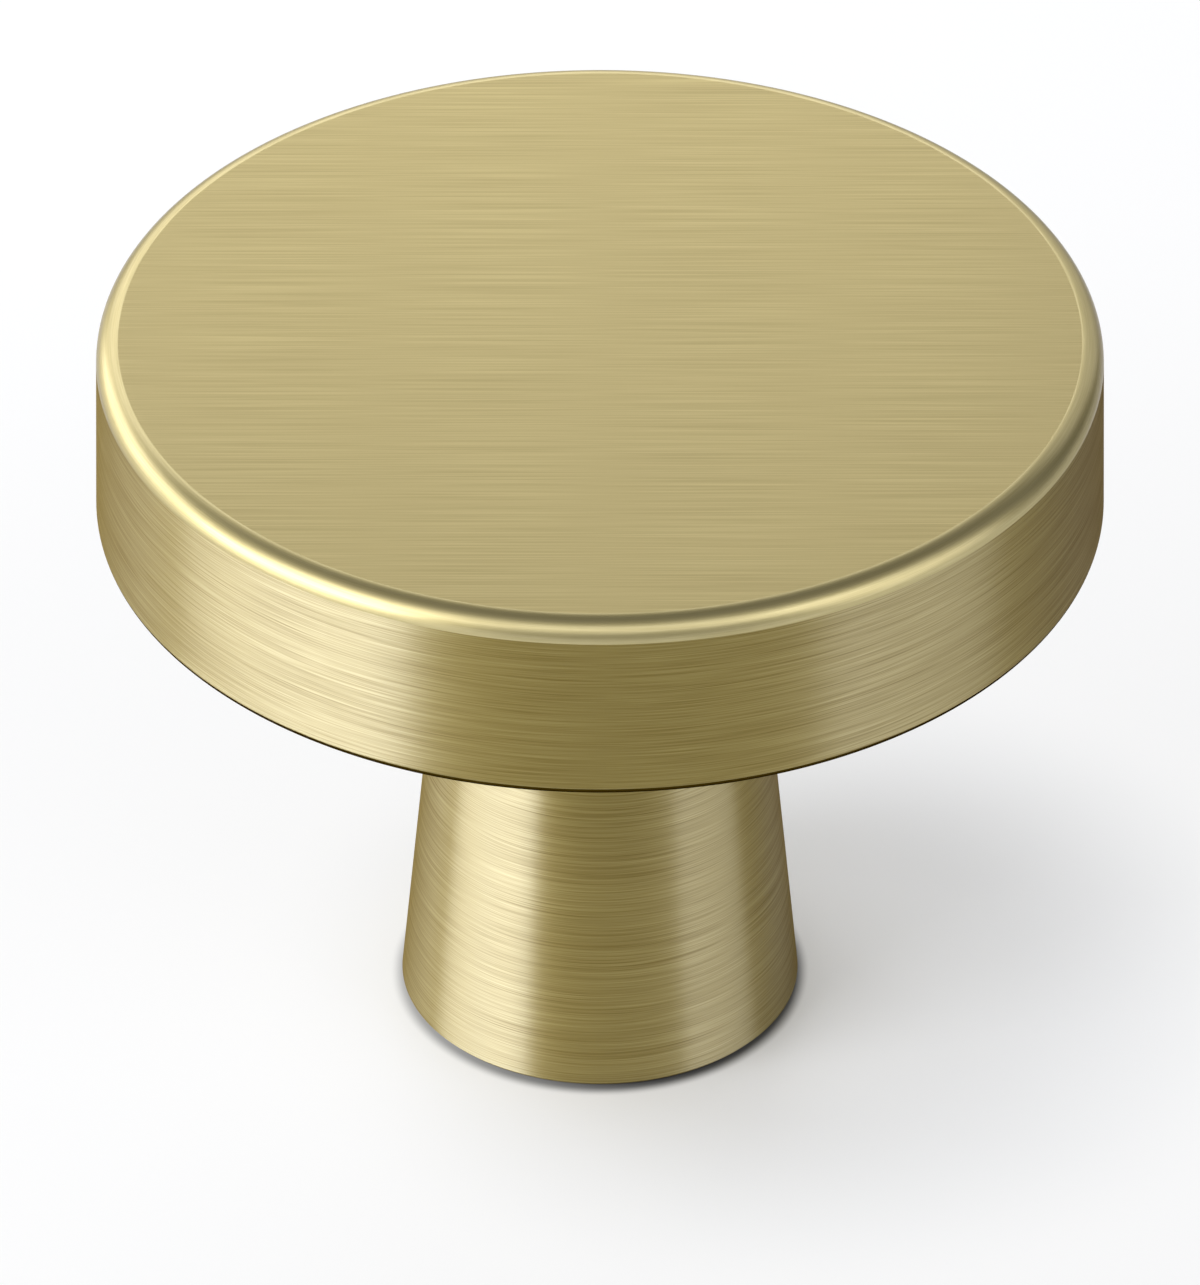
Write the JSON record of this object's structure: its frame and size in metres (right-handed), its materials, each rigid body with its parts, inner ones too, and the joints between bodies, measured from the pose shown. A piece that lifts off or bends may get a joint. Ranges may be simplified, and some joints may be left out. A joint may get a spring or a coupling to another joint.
{
  "type": "cabinet knob",
  "caption": "Round cabinet knob: a thick flat disc head on a stem that flares towards its base, with a blind threaded hole in the base for the fixing screw.",
  "frame": {"origin": "centre of the base face, where the knob meets the door or drawer front", "axes": "+Z along the knob's axis, from the base up to the face; the face's brushing runs along X"},
  "size_m": [0.032, 0.032, 0.0248],
  "materials": {
    "brushed_brass": "satin brushed brass: straight grain along X on the face, grain round the axis on the sides and stem"
  },
  "bodies": {
    "root": {"knob": "brushed_brass"}
  },
  "joints": []
}
